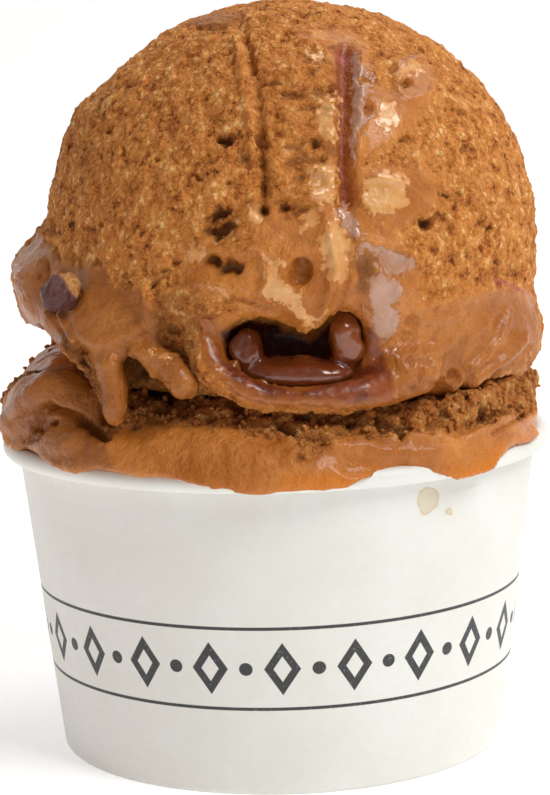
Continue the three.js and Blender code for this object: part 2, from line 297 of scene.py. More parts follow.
def fine_copy(node, cell, smoothing, finer=None):
    """A closed, even and smooth mesh in the place of a CAD node, with finer cells where finer says."""
    source = bmesh.new()
    source.from_mesh(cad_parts[node].data)
    bmesh.ops.remove_doubles(source, verts=source.verts, dist=0.001 * MM)
    rough = bpy.data.meshes.new(node + "_rough")
    source.to_mesh(rough)
    source.free()
    holder = bpy.data.objects.new(node + "_holder", rough)
    bpy.context.scene.collection.objects.link(holder)
    remesh = holder.modifiers.new("even_cells", "REMESH")
    remesh.mode = "VOXEL"
    remesh.voxel_size = cell * MM
    seen = holder.evaluated_get(bpy.context.evaluated_depsgraph_get())
    fine = bpy.data.meshes.new_from_object(seen)
    bpy.data.objects.remove(holder)
    shape = bmesh.new()
    shape.from_mesh(fine)
    smooth_out(shape, shape.verts, smoothing)
    if finer:
        shape.normal_update()
        picked = [f for f in shape.faces if finer(f.calc_center_median() / MM, f.normal)]
        edges = list({e for f in picked for e in f.edges})
        bmesh.ops.subdivide_edges(shape, edges=edges, cuts=1, use_grid_fill=True, smooth=0)
    shape.to_mesh(fine)
    shape.free()
    fine.update()
    return fine


def toward_camera(centre, normal):
    """True on the side that the camera sees."""
    eye = Vector(camera_axes()[0])
    return (eye - centre).normalized().dot(normal) > SHOWN


# Material nodes

def new_material(name):
    """An empty material with only its Principled shader."""
    material = bpy.data.materials.new(name)
    material.use_nodes = True
    return material


def shader(material):
    """The material's Principled shader."""
    return material.node_tree.nodes["Principled BSDF"]


def add(material, kind, inputs, **settings):
    """Adds a node, sets its fields, and fills or links its inputs."""
    node = material.node_tree.nodes.new(kind)
    for setting, value in settings.items():
        setattr(node, setting, value)
    for socket, value in inputs.items():
        fill(material, node.inputs[socket], value)
    return node


def fill(material, socket, value):
    """Links an output to a socket, or sets the socket's own value."""
    if isinstance(value, bpy.types.NodeSocket):
        material.node_tree.links.new(value, socket)
    else:
        socket.default_value = value


def set_look(material, settings):
    """Sets or links the Principled shader's own sockets."""
    for socket, value in settings.items():
        fill(material, shader(material).inputs[socket], value)


def bumped(material, height, strength, distance):
    """A surface normal for relief of that depth in millimetres."""
    inputs = {"Height": height, "Strength": strength, "Distance": distance * MM}
    return add(material, "ShaderNodeBump", inputs).outputs[0]


def field(material, name):
    """One of the numbers kept on a piece's points."""
    return add(material, "ShaderNodeAttribute", {}, attribute_name=name).outputs["Fac"]


def maths(material, operation, first, second):
    """One sum on two numbers."""
    inputs = {0: first, 1: second}
    return add(material, "ShaderNodeMath", inputs, operation=operation).outputs[0]


def spread(material, value, low, high, to_low=0.0, to_high=1.0):
    """Maps a number from one range to another, held at its ends."""
    inputs = {"Value": value, "From Min": low, "From Max": high, "To Min": to_low, "To Max": to_high}
    return add(material, "ShaderNodeMapRange", inputs).outputs[0]


def mix(material, share, under, over):
    """Lays one colour over another by a share."""
    node = add(material, "ShaderNodeMix", {}, data_type="RGBA")
    fill(material, node.inputs[0], share)
    fill(material, node.inputs[6], under)
    fill(material, node.inputs[7], over)
    return node.outputs[2]


def object_place(material, stretch=(1, 1, 1), turn=0):
    """Object coordinates in millimetres, stretched and turned about the Y axis."""
    coordinates = add(material, "ShaderNodeTexCoord", {}).outputs["Object"]
    scale = [1 / (MM * s) for s in stretch]
    inputs = {"Vector": coordinates, "Rotation": (0, math.radians(turn), 0), "Scale": scale}
    return add(material, "ShaderNodeMapping", inputs).outputs[0]


def cloud(material, place, size, detail=2.0, roughness=0.5):
    """Noise with lumps of that size in millimetres, from 0 to 1."""
    inputs = {"Vector": place, "Scale": 1 / size, "Detail": detail, "Roughness": roughness}
    return add(material, "ShaderNodeTexNoise", inputs).outputs["Fac"]


def cells(material, place, size):
    """Cells of that size in millimetres: each one's colour, and the distance from its middle."""
    return add(material, "ShaderNodeTexVoronoi", {"Vector": place, "Scale": 1 / size}).outputs


def colour(red, green, blue):
    """A colour given as it looks on screen, from 0 to 255, in the linear values of the renderer."""
    def linear(value):
        v = value / 255
        return v / 12.92 if v <= 0.04045 else ((v + 0.055) / 1.055) ** 2.4
    return (linear(red), linear(green), linear(blue), 1.0)


# Colours as they look on screen

# The palest gelato tone, a painted highlight on the crumb's crowns
GELATO_CROWN_HIGHLIGHT = colour(248, 200, 134)
GELATO_LIGHT = colour(228, 158, 84)
GELATO_MID = colour(208, 132, 60)
GELATO_LOW = colour(166, 94, 34)
GELATO_SOFT = colour(204, 130, 58)
# The deepest gelato tone, painted shade in the crumb's gaps and in pits
GELATO_SHADE = colour(92, 44, 12)
GELATO_MELTED = colour(172, 100, 32)
CARAMEL_THIN = colour(138, 62, 21)
CARAMEL_DEEP = colour(60, 18, 7)
# Lilac tone of the film, partly a painted reflection of the bright surroundings
MILKY_FILM_AND_SHEEN = colour(182, 140, 120)
# Peach tone of the painted highlights on the wet patches
PEACH = colour(222, 164, 104)
AMBER = colour(206, 118, 24)
ROSE = colour(176, 88, 88)
UMBER = colour(112, 62, 26)
CARAMEL_WARM = colour(104, 36, 16)
CARAMEL_BROWN = colour(124, 60, 20)
# Warmer lilac tone of the film, partly a painted reflection
FILM_SHEEN_WARM = colour(176, 126, 96)
# Warmer tone of the painted highlights
PEACH_WARM = colour(210, 146, 84)
GLAZE_LIGHT = colour(150, 76, 32)
GLAZE_DARK = colour(98, 38, 14)
NUT_LIGHT = colour(206, 148, 80)
NUT_DARK = colour(140, 82, 34)
NUT_SKIN = colour(84, 42, 36)
PAPER_WHITE = colour(232, 232, 228)
PAPER_GREY = colour(222, 222, 216)
PAPER_WARM = colour(214, 211, 200)
STAIN_TONE = colour(202, 178, 132)
INK = colour(48, 50, 50)

# Levels of the crumb's height between which each dry tone comes in, from the gaps to the crowns: the dark
# gaps are painted shade and the palest crowns painted highlight
DRY_TONES = [
    (-0.1, 0.06, GELATO_LOW), (0.06, 0.32, GELATO_MID), (0.35, 0.65, GELATO_LIGHT),
    (0.6, 0.85, GELATO_CROWN_HIGHLIGHT),
]

# The colour laid over each kept place, one after the other: the pit colour is painted shade, and the brown
# and the deep caramel are partly painted shade
PLACE_TONES = [
    ("brown_and_shade", UMBER), ("caramel", CARAMEL_THIN), ("deep", CARAMEL_DEEP), ("amber", AMBER),
    ("rose", ROSE), ("pit", GELATO_SHADE),
]


# Finishes

def wandered(material, place, size, reach):
    """Places shaken by noise with lumps of that size, by half the reach at most, in millimetres."""
    shake = add(material, "ShaderNodeTexNoise", {"Vector": place, "Scale": 1 / size, "Detail": 3.0})
    middle = {0: shake.outputs["Color"], 1: (0.5, 0.5, 0.5)}
    centred = add(material, "ShaderNodeVectorMath", middle, operation="SUBTRACT").outputs[0]
    wide = add(material, "ShaderNodeVectorMath", {0: centred, "Scale": reach}, operation="SCALE").outputs[0]
    return add(material, "ShaderNodeVectorMath", {0: place, 1: wide}, operation="ADD").outputs[0]


def crumb_height(material, place):
    """Uneven grains, from 0 in the gaps to 1 on the crowns, and each grain's own tone."""
    moved = wandered(material, place, *CRUMB_WANDER)
    big = cells(material, moved, GRAIN)
    small = cells(material, moved, GRAIN * 0.45)["Distance"]
    fine = cloud(material, place, 0.4, 3.0, 0.7)
    clumps = cloud(material, place, 2.4, 3.0, 0.6)
    tone = add(material, "ShaderNodeSeparateColor", {0: big["Color"]}).outputs[0]
    crown = spread(material, big["Distance"], 0.1, 0.8, 1.0, 0.0)
    height = maths(material, "MULTIPLY", crown, spread(material, tone, 0, 1, 0.2, 0.5))
    height = maths(material, "ADD", height, spread(material, small, 0.0, 0.8, 0.25, 0.0))
    height = maths(material, "ADD", height, spread(material, fine, 0.3, 0.7, 0.0, 0.25))
    height = maths(material, "ADD", height, spread(material, clumps, 0.3, 0.7, -0.3, 0.3))
    return height, tone


def gelato_colour(material, wet, height, tone):
    """The dry tones by height, with painted shade in the gaps and painted highlight on the crowns, the
    melted tones, darker in their low places as painted shade, and over them each place kept with its own
    colour.
    """
    place = object_place(material, CRUMB_STRETCHED, CRUMB_TURN)
    broad = cloud(material, place, 9.0, 3.0, 0.55)
    level = maths(material, "ADD", height, spread(material, tone, 0, 1, -0.08, 0.08))
    dry_colour = GELATO_SHADE
    for low, high, over in DRY_TONES:
        dry_colour = mix(material, spread(material, level, low, high), dry_colour, over)
    dry_colour = mix(material, spread(material, broad, 0.45, 0.72, 0.0, 0.25), dry_colour, GELATO_LOW)
    wet_colour = mix(material, spread(material, broad, 0.35, 0.65), GELATO_MELTED, GELATO_SOFT)
    wet_colour = mix(material, spread(material, height, 0.05, 0.5, 0.5, 0.0), wet_colour, GELATO_LOW)
    base = mix(material, wet, dry_colour, wet_colour)
    for name, over in PLACE_TONES:
        base = mix(material, field(material, name), base, over)
    return base


def gelato_finish(name):
    """Brown gelato: sandy dry crumb and melted gloss, with caramel, brown and thin amber places, and
    painted shade in its pits and partly on its brown places.
    """
    material = new_material(name)
    place = object_place(material, CRUMB_STRETCHED, CRUMB_TURN)
    wet = field(material, "wet")
    dry = maths(material, "SUBTRACT", 1.0, wet)
    medium = cloud(material, place, 2.6, 3.0, 0.6)
    height, tone = crumb_height(material, place)
    shine = maths(material, "MAXIMUM", wet, field(material, "caramel"))
    roughness = add(material, "ShaderNodeMix", {0: shine, 2: 0.75}, data_type="FLOAT")
    fill(material, roughness.inputs[3], spread(material, medium, 0.3, 0.7, 0.24, 0.44))
    dry_height = maths(material, "MULTIPLY", height, spread(material, dry, 0, 1, 0.25, 1.0))
    wave = maths(material, "MULTIPLY", cloud(material, place, 1.5, 4.0, 0.6), wet)
    relief = maths(material, "ADD", dry_height, wave)
    set_look(material, {
        "Base Color": gelato_colour(material, wet, height, tone),
        "Roughness": roughness.outputs[0],
        "Coat Weight": spread(material, shine, 0.4, 1.0, 0.0, 0.22),
        "Coat Roughness": 0.12,
        "Specular IOR Level": 0.35,
        "IOR": 1.4,
        "Subsurface Weight": 0.2,
        "Subsurface Radius": (1.0, 0.45, 0.2),
        "Subsurface Scale": 1.2 * MM,
        "Normal": bumped(material, relief, 1.0, 0.75),
    })
    return material


def gloss_finish(name, tone, other, roughness, edge=GELATO_MELTED, coat=0.6):
    """A thin wet layer of two tones over the gelato, with the gelato's own tone at its edge."""
    material = new_material(name)
    place = object_place(material)
    shade = mix(material, spread(material, cloud(material, place, 3.0, 3.0), 0.35, 0.65), tone, other)
    set_look(material, {
        "Base Color": mix(material, field(material, "body"), edge, shade),
        "Roughness": roughness,
        "Coat Weight": coat,
        "Coat Roughness": 0.08,
        "Specular IOR Level": 0.35,
        "Subsurface Weight": 0.3,
        "Subsurface Radius": (1.0, 0.5, 0.3),
        "Subsurface Scale": 1 * MM,
        "Normal": bumped(material, cloud(material, place, 1.2, 4.0), 0.9, 0.35),
    })
    return material


def caramel_finish(name):
    """Dark, glossy and slightly clear caramel sauce, thinner and browner over its lumps, and lighter brown
    at its front as painted light.
    """
    material = new_material(name)
    place = object_place(material)
    tone = mix(material, cloud(material, place, 4.0), CARAMEL_DEEP, CARAMEL_WARM)
    set_look(material, {
        "Base Color": mix(material, field(material, "thin"), tone, CARAMEL_BROWN),
        "Roughness": 0.2,
        "Coat Weight": 0.5,
        "Coat Roughness": 0.12,
        "Subsurface Weight": 0.15,
        "Subsurface Radius": (1.0, 0.3, 0.1),
        "Subsurface Scale": 2 * MM,
        "Normal": bumped(material, cloud(material, place, 2.5), 0.5, 0.3),
    })
    return material


def nut_finish(name):
    """A broken nut: golden crumbly flesh under a dark skin."""
    material = new_material(name)
    place = object_place(material)
    crumb = cloud(material, place, 0.7, 3.0, 0.7)
    flesh = mix(material, spread(material, crumb, 0.3, 0.7), NUT_DARK, NUT_LIGHT)
    set_look(material, {
        "Base Color": mix(material, field(material, "skin"), flesh, NUT_SKIN),
        "Roughness": 0.45,
        "Subsurface Weight": 0.1,
        "Subsurface Scale": 1 * MM,
        "Normal": bumped(material, crumb, 1.0, 0.35),
    })
    return material


def distance_from(material, value, middle):
    """How far a number is from a middle value, to either side."""
    return maths(material, "ABSOLUTE", maths(material, "SUBTRACT", value, middle), 0.0)


def printed_band(material, x, y, z):
    """A printed ring of open diamonds and dots between two thin lines, from 0 to 1."""
    turn = maths(material, "ARCTAN2", y, x)
    repeats = maths(material, "MULTIPLY", turn, PRINT_REPEATS / (2 * math.pi))
    part = maths(material, "FRACT", repeats, 0.0)
    cell = 2 * math.pi * PRINT_RADIUS / PRINT_REPEATS
    off = distance_from(material, spread(material, part, 0, 1, 0, cell), cell / 2)
    up = distance_from(material, z, PRINT_HEIGHT)
    reach = maths(material, "ADD", maths(material, "DIVIDE", off, DIAMOND_HALF_WIDTH),
                  maths(material, "DIVIDE", up, DIAMOND_HALF_HEIGHT))
    inside = spread(material, reach, *DIAMOND_EDGE)
    around_hole = spread(material, reach, *DIAMOND_HOLE)
    diamond = maths(material, "MULTIPLY", inside, around_hole)
    side = distance_from(material, off, cell / 2)
    squares = maths(material, "ADD", maths(material, "MULTIPLY", side, side),
                    maths(material, "MULTIPLY", up, up))
    far = maths(material, "SQRT", squares, 0.0)
    dot = spread(material, far, DOT_RADIUS, DOT_RADIUS - DOT_BLUR)
    rule = distance_from(material, up, RULE_OFFSET)
    line = spread(material, rule, RULE_HALF_WIDTH, RULE_HALF_WIDTH - RULE_BLUR)
    return maths(material, "MAXIMUM", maths(material, "MAXIMUM", diamond, dot), line)


def paper_stain(material, place):
    """Dried drops on the wall: a faint middle and a darker uneven edge, from 0 to 1."""
    moved = wandered(material, place, STAIN_WAVES, STAIN_WANDER)
    total = 0.0
    for centre, radius in STAINS:
        away = add(material, "ShaderNodeVectorMath", {0: moved, 1: centre}, operation="DISTANCE")
        off = away.outputs["Value"]
        body = spread(material, off, radius, radius * 0.8, 0.0, 0.5)
        edge = spread(material, distance_from(material, off, radius * 0.85), 0.0, 0.35, 0.4, 0.0)
        total = maths(material, "ADD", total, maths(material, "ADD", body, edge))
    return total


def paper_finish(name):
    """Coated white paper with a printed ring, a stain, a faint mottle and a glued seam at the back."""
    material = new_material(name)
    place = object_place(material)
    split = add(material, "ShaderNodeSeparateXYZ", {0: place})
    x, y, z = split.outputs
    mottle = cloud(material, place, 1.4, 4.0, 0.6)
    wide = cloud(material, place, 12.0, 2.0)
    tone = mix(material, mottle, PAPER_GREY, PAPER_WHITE)
    tone = mix(material, spread(material, wide, 0.3, 0.7, 0.0, 0.4), tone, PAPER_WARM)
    tone = mix(material, paper_stain(material, place), tone, STAIN_TONE)
    wear = spread(material, cloud(material, place, 0.5, 3.0, 0.7), 0.3, 0.42, 0.82, 1.0)
    ink = maths(material, "MULTIPLY", printed_band(material, x, y, z), wear)
    tone = mix(material, ink, tone, INK)
    seam = maths(material, "MULTIPLY", spread(material, x, *SEAM_STEP), spread(material, x, *SEAM_FADE))
    seam = maths(material, "MULTIPLY", seam, spread(material, y, 0, 1))
    creased = object_place(material, (14, 14, 1.6), 24)
    creases = spread(material, cloud(material, creased, 1.6, 2.0), 0.3, 0.5)
    height = maths(material, "ADD", maths(material, "MULTIPLY", mottle, 0.2), seam)
    height = maths(material, "ADD", height, maths(material, "MULTIPLY", creases, 0.25))
    normal = bumped(material, height, 0.8, 0.15)
    set_look(material, {"Base Color": tone, "Roughness": 0.5, "Normal": normal})
    return material


# Places on the upper portion, in pixels of the photograph's frame

MELTED_FRONT = [
    (248, 205), (266, 196), (290, 190), (312, 178), (322, 150), (318, 120), (330, 92), (326, 66),
    (312, 48), (300, 34), (330, 26), (356, 32), (368, 52), (372, 84), (390, 88), (396, 62),
    (414, 56), (434, 72), (430, 100), (414, 128), (384, 142), (362, 164), (384, 166), (420, 166),
    (442, 184), (438, 206), (414, 222), (398, 236), (398, 250), (416, 264), (424, 280), (420, 304),
    (462, 298), (487, 288), (522, 289), (537, 296), (540, 345), (520, 372), (488, 384), (452, 392),
    (436, 404), (399, 408), (348, 412), (306, 408), (264, 407), (240, 398), (224, 386), (203, 362),
    (196, 345), (200, 324), (214, 318), (238, 312), (236, 300), (200, 294), (180, 285), (182, 262),
    (200, 240), (244, 252), (250, 228),
]
MELTED_LEFT = [
    (26, 226), (12, 262), (16, 292), (30, 334), (52, 346), (76, 336), (98, 368), (102, 420),
    (130, 420), (131, 372), (134, 352), (148, 362), (172, 396), (198, 392), (170, 338), (158, 302),
    (138, 290), (112, 287), (104, 268), (60, 262), (44, 238),
]
TORN_WET = [
    (262, 60), (300, 40), (336, 40), (338, 200), (310, 220), (268, 214), (262, 150), (256, 100),
]
TOP_CREASE = [(186, 23), (200, 14), (222, 9), (244, 11), (236, 24), (208, 28)]
TOP_CREASE_EDGE = [(196, 27), (212, 28), (230, 25), (242, 15)]
CHANNEL = [(345, 50), (345, 110), (343, 168), (347, 200)]
CHANNEL_HEAD = [(341, 52), (352, 56)]
CHANNEL_WALL = [(361, 54), (362, 100), (359, 150)]
GROOVE = [(239, 22), (247, 44), (253, 66), (258, 96), (261, 120), (263, 154), (265, 184), (262, 214)]
GROOVE_RIDGE = [(236, 40), (242, 70), (246, 100), (250, 132), (253, 160)]
HOLLOW = [
    (247, 320), (278, 325), (302, 338), (312, 343), (322, 332), (341, 312), (354, 317), (361, 337),
    (361, 353), (350, 366), (331, 371), (303, 384), (278, 380), (256, 372), (228, 354), (220, 334),
]
LIP = [
    (199, 318), (212, 320), (217, 337), (228, 353), (256, 370), (278, 380), (303, 384), (320, 374),
    (331, 370), (360, 360), (362, 300), (372, 320), (386, 342), (398, 376), (399, 404), (348, 409),
    (306, 405), (264, 404), (240, 395), (226, 383), (205, 360),
]
OLIVE_HOLLOW = [(356, 256), (366, 249), (378, 258), (374, 272), (368, 296), (356, 294)]
CRUMBLY_LEFT = [(156, 292), (200, 296), (206, 320), (200, 345), (192, 372), (172, 352), (156, 346)]
FRUIT_SPECK = [(496, 281), (505, 283), (514, 287), (521, 293)]
# Cavities under and beside the drips, darkened with painted shade
SHADE_UNDER_DRIPS = [(134, 366), (140, 384), (160, 400), (190, 404)]
SHADE_BESIDE_DRIPS = [(64, 340), (84, 366), (98, 404)]
BULGE = [(398, 318), (440, 306), (524, 292), (546, 300), (546, 352), (500, 388), (400, 410)]

# Rows between which the sauce's front gets painted light and turns a lighter brown, and the way and the
# line where the nut's skin begins
SAUCE_LIT_FRONT = (358, 372)
SKIN_WAY = np.array([-0.85, 0.75])
SKIN_EDGE = (154, 159)

# The back, in the same frame with the cup turned half round
HALF_TURN = np.array([-1.0, -1.0, 1.0])
MELTED_BACK = [
    (60, 330), (120, 342), (180, 318), (240, 330), (262, 372), (300, 340), (372, 322), (440, 338),
    (520, 316), (540, 420), (40, 420),
]
BACK_LINES = [
    ([(176, 40), (160, 100), (158, 160), (172, 232), (196, 290)], 18, -1.5),
    ([(192, 42), (178, 100), (176, 160), (190, 228)], 16, 0.9),
    ([(330, 30), (342, 96), (340, 168), (324, 236)], 22, -1.4),
    ([(350, 40), (362, 100), (360, 166), (344, 236)], 14, 0.8),
    ([(208, 96), (250, 88), (296, 98)], 10, -0.9),
    ([(214, 128), (262, 134), (310, 126)], 10, -0.8),
    ([(376, 196), (420, 206), (470, 196)], 12, -1.1),
    ([(82, 210), (116, 226), (150, 220)], 12, -1.1),
    ([(230, 306), (280, 296), (340, 308), (400, 300)], 16, 1.0),
    ([(404, 250), (440, 262), (486, 252)], 13, 0.8),
]
BACK_PITS = [
    (118, 150, 12, 9, 20, 2.0), (134, 164, 9, 6, -20, 1.5), (286, 214, 14, 8, 10, 2.0),
    (302, 232, 9, 7, 40, 1.4), (430, 146, 10, 7, -30, 1.8), (248, 262, 8, 7, 0, 1.6),
    (392, 284, 11, 7, 15, 1.7), (90, 270, 10, 7, 0, 1.6), (262, 60, 7, 5, 30, 1.3),
    (470, 226, 8, 6, 0, 1.4), (206, 352, 6, 5, 0, 1.0), (330, 364, 7, 5, 0, 1.1),
]

# Torn flakes lie across the scoop's path: wide along X and tipped a little
FLAKE_STRETCH = np.array([[0.22, 0.0, -0.06], [0.0, 0.35, 0.0], [0.1, 0.0, 0.6]])

# Grooves and ridges: a line, its width in pixels and its rise in millimetres
GROOVE_LINES = [
    (GROOVE, 20, -0.8),
    ([(243, 34), (248, 52), (252, 68)], 14, -0.7),
    ([(262, 156), (265, 178), (263, 208)], 18, -1.0),
    (GROOVE_RIDGE, 17, 0.9),
    ([(270, 214), (268, 180), (268, 140), (266, 100)], 10, 0.5),
]
FLOW_LINES = [
    ([(243, 212), (258, 203), (270, 196), (286, 192)], 13, 0.9),
    ([(212, 250), (236, 245), (260, 255), (268, 276), (258, 296)], 12, 0.9),
    ([(240, 298), (268, 308), (290, 322)], 14, -0.8),
    ([(322, 206), (331, 240), (336, 268), (328, 298), (314, 330)], 15, 0.9),
    ([(352, 216), (350, 244), (344, 290), (338, 306)], 12, -0.7),
    ([(360, 240), (384, 244), (404, 252), (420, 264)], 13, 0.9),
    ([(378, 270), (396, 284), (398, 310), (392, 336)], 12, 0.5),
    ([(270, 226), (292, 238), (312, 242)], 14, -0.6),
    ([(284, 250), (278, 268), (284, 288), (304, 296)], 10, 0.5),
]
DRIP_LINES = [
    ([(128, 282), (146, 288), (152, 306)], 14, 0.8),
    ([(138, 352), (156, 358), (170, 370), (182, 386)], 28, 2.6),
    ([(110, 366), (115, 390), (116, 410)], 36, 1.6),
    ([(60, 316), (74, 334), (96, 344), (120, 340), (144, 326), (152, 304)], 22, 0.9),
    ([(134, 364), (140, 384), (160, 398), (190, 402)], 26, -3.0),
    ([(62, 306), (72, 330), (92, 358)], 12, -0.8),
    ([(70, 262), (62, 240), (40, 232)], 14, 0.7),
]
CHANNEL_LINES = [
    (TOP_CREASE_EDGE, 8, -0.9),
    (CHANNEL, 30, -1.7),
    (CHANNEL_WALL, 14, 0.8),
    ([(336, 46), (336, 100), (334, 160), (338, 200)], 8, 0.5),
]
TORN_STEPS = [
    ([(266, 96), (285, 92), (310, 99)], 8, -0.8),
    ([(268, 116), (290, 122), (306, 120)], 7, -0.5),
    ([(274, 135), (296, 139), (315, 146)], 8, -0.8),
    ([(280, 152), (302, 155), (322, 150)], 7, -0.6),
    ([(272, 199), (288, 203), (302, 209)], 10, -1.0),
]
LEFT_LINES = [
    ([(128, 234), (145, 246), (162, 260)], 10, 0.45),
    ([(198, 284), (222, 288), (248, 292)], 12, 0.8),
    ([(17, 262), (20, 290), (30, 314), (38, 322)], 14, 0.5),
    ([(46, 262), (46, 300), (55, 320), (66, 338)], 8, -0.9),
    ([(138, 274), (146, 282), (148, 300)], 16, 0.8),
    ([(80, 346), (93, 368), (101, 392)], 9, -0.6),
    ([(149, 346), (162, 354), (174, 362)], 6, 0.5),
]
BULGE_LINES = [
    ([(414, 309), (436, 304), (461, 298), (486, 290), (505, 289), (522, 292)], 12, 0.6),
    ([(509, 309), (505, 330), (493, 347), (484, 360), (467, 373), (451, 387)], 11, 1.0),
    ([(500, 318), (496, 334), (484, 348), (474, 360), (456, 374)], 9, -0.4),
    ([(524, 332), (521, 347), (505, 360), (486, 373), (470, 383)], 11, 1.0),
    ([(470, 340), (484, 326), (494, 312)], 14, 0.5),
    ([(532, 346), (520, 362), (500, 374), (480, 386)], 8, -0.8),
    ([(404, 330), (420, 322), (440, 320), (460, 312)], 13, 0.4),
    ([(404, 372), (424, 384), (444, 388)], 12, -0.5),
    ([(380, 350), (400, 362), (410, 378)], 14, 0.5),
    ([(430, 296), (460, 286), (490, 276), (520, 276)], 10, -0.6),
    ([(372, 176), (396, 182), (418, 196), (432, 212)], 12, 0.7),
    ([(382, 226), (398, 240), (402, 250)], 12, 0.7),
    ([(440, 352), (452, 342), (464, 330)], 12, 0.4),
    ([(516, 330), (511, 344), (499, 355), (480, 368), (463, 380)], 8, -0.6),
    ([(438, 330), (424, 347), (420, 373)], 9, -0.45),
    ([(421, 61), (405, 62), (397, 74), (398, 90), (410, 100), (426, 97), (433, 86)], 11, 0.7),
    ([(436, 406), (448, 398), (458, 390)], 9, -1.0),
    ([(470, 388), (488, 380), (505, 366)], 8, -1.0),
]
LINES = [*GROOVE_LINES, *FLOW_LINES, *DRIP_LINES, *CHANNEL_LINES, *TORN_STEPS, *LEFT_LINES, *BULGE_LINES]

# Pits: centre, half width and half height in pixels, turn in degrees and depth in millimetres
PITS = [
    (224, 140, 12, 9, 20, 2.2), (244, 158, 13, 10, 40, 1.0), (218, 215, 15, 7, -10, 2.2),
    (216, 231, 20, 9, -5, 1.8), (262, 208, 8, 6, 30, 1.6), (286, 206, 12, 5, -10, 1.3),
    (87, 229, 6, 4, 0, 0.9), (165, 270, 4, 3, 0, 0.7), (223, 122, 4, 3, 0, 0.7),
    (303, 262, 9, 6, 0, 1.3), (297, 280, 8, 8, 0, 0.7), (213, 262, 9, 8, 0, 2.2),
    (230, 268, 15, 9, 0, 1.9), (228, 226, 13, 8, -30, 1.7), (195, 293, 5, 4, 0, 1.0),
    (311, 71, 9, 5, 0, 1.0), (331, 88, 6, 5, 0, 1.0), (392, 68, 4, 4, 0, 0.9),
    (444, 79, 3, 3, 0, 0.6), (421, 124, 3, 3, 0, 0.6),
    (445, 135, 3, 3, 0, 0.6), (425, 147, 3, 3, 0, 0.6), (445, 166, 3, 3, 0, 0.6),
    (433, 169, 3, 3, 0, 0.6), (485, 183, 3, 3, 0, 0.5), (366, 164, 4, 3, 0, 0.7),
    (447, 196, 10, 5, 25, 1.3), (427, 222, 14, 6, -22, 1.9), (405, 82, 7, 5, 0, 1.2),
    (364, 80, 6, 5, 0, 1.0), (369, 108, 6, 10, 0, 1.1), (360, 132, 5, 8, 20, 0.9),
    (38, 277, 6, 6, 0, 1.2), (53, 309, 5, 12, -10, 1.2), (131, 350, 6, 5, 0, 1.2),
    (366, 272, 9, 20, 8, 0.9), (344, 252, 5, 4, 0, 0.6), (436, 312, 4, 3, 0, 0.6),
    (413, 341, 5, 5, 0, 0.6), (429, 359, 4, 4, 0, 0.6), (412, 392, 5, 5, 0, 0.8),
    (497, 308, 10, 8, 0, 0.5), (461, 341, 5, 6, 30, 0.3),
]

# Rings with a raised rim: centre, radius in pixels and rise of the rim in millimetres
RINGS = [(410.5, 322, 8.5, 0.35), (452, 375.5, 7.5, 0.4), (300, 272, 17, 0.2)]

# Wet layers: outlines of the pale patches, which are painted highlights, and of the milky film, whose lilac
# tone is partly a painted reflection, and the film's holes
PAINTED_HIGHLIGHTS = [
    [(266, 266), (282, 260), (284, 265), (280, 271), (283, 281), (291, 288), (304, 291), (304, 299),
     (300, 306), (310, 318), (318, 316), (325, 306), (331, 306), (322, 318), (317, 325), (310, 330),
     (301, 323), (294, 311), (283, 304), (266, 300), (258, 293), (263, 281)],
    [(333, 216), (341, 222), (350, 236), (355, 250), (354, 262), (350, 276), (342, 287), (332, 283),
     (325, 275), (322, 251), (320, 238), (328, 226)],
    [(300, 212), (315, 211), (320, 222), (312, 232), (299, 228)],
    [(363, 178), (384, 170), (404, 174), (410, 190), (408, 206), (396, 214), (386, 210), (372, 216),
     (363, 200)],
    [(378, 106), (396, 100), (401, 118), (392, 132), (380, 134), (374, 120)],
    [(400, 62), (416, 60), (428, 68), (424, 74), (408, 72), (401, 90), (396, 78)],
    [(322, 96), (337, 92), (338, 142), (324, 146), (316, 120)],
    [(312, 166), (338, 160), (338, 204), (320, 206), (306, 190)],
    [(306, 46), (322, 50), (324, 64), (310, 66)],
    [(185, 246), (200, 243), (205, 252), (198, 264), (187, 262)],
    [(246, 205), (257, 201), (264, 212), (269, 208), (266, 222), (256, 226), (247, 218)],
    [(198, 283), (214, 284), (232, 289), (247, 286), (246, 291), (228, 294), (206, 289)],
    [(143, 278), (150, 280), (150, 287), (144, 286)],
    [(150, 345), (162, 351), (175, 361), (170, 363), (158, 356), (149, 349)],
]
FILM_AND_SHEEN_PATCHES = [
    [(371, 275), (380, 265), (386, 275), (400, 280), (403, 289), (400, 302), (394, 304), (400, 315),
     (399, 328), (394, 336), (386, 342), (373, 340), (371, 321), (370, 299), (366, 279)],
    [(353, 266), (358, 245), (363, 239), (372, 243), (384, 246), (403, 253), (414, 257), (419, 264),
     (408, 270), (400, 276), (388, 276), (380, 264), (378, 256), (370, 250), (362, 252)],
    [(338, 211), (343, 200), (349, 210), (360, 224), (357, 240), (352, 239), (341, 224)],
    [(351, 53), (361, 55), (366, 66), (373, 76), (371, 92), (366, 98), (375, 108), (373, 120),
     (364, 128), (355, 150), (358, 156), (354, 167), (348, 160), (350, 120)],
    [(390, 343), (397, 346), (398, 358), (392, 357)],
    [(380, 362), (385, 363), (391, 369), (387, 372), (381, 367)],
    [(15, 262), (18, 262), (23, 284), (27, 298), (24, 300), (18, 288)],
]

# The holes: centre, half width and half height in pixels, and turn in degrees
FILM_HOLES = [(364, 81, 6, 5, 0), (368, 108, 6, 9, 0), (361, 133, 4, 8, 20), (354, 157, 2, 4, 0)]


def pit_depth(places, pits):
    """Depth of the deepest pit at each place in millimetres, with a soft edge."""
    depth = np.zeros(len(places))
    for x, y, wide, high, turn, deep in pits:
        depth = np.maximum(depth, deep * smooth_step(spot(places, x, y, wide, high, turn), 1.15, 0.25))
    return depth


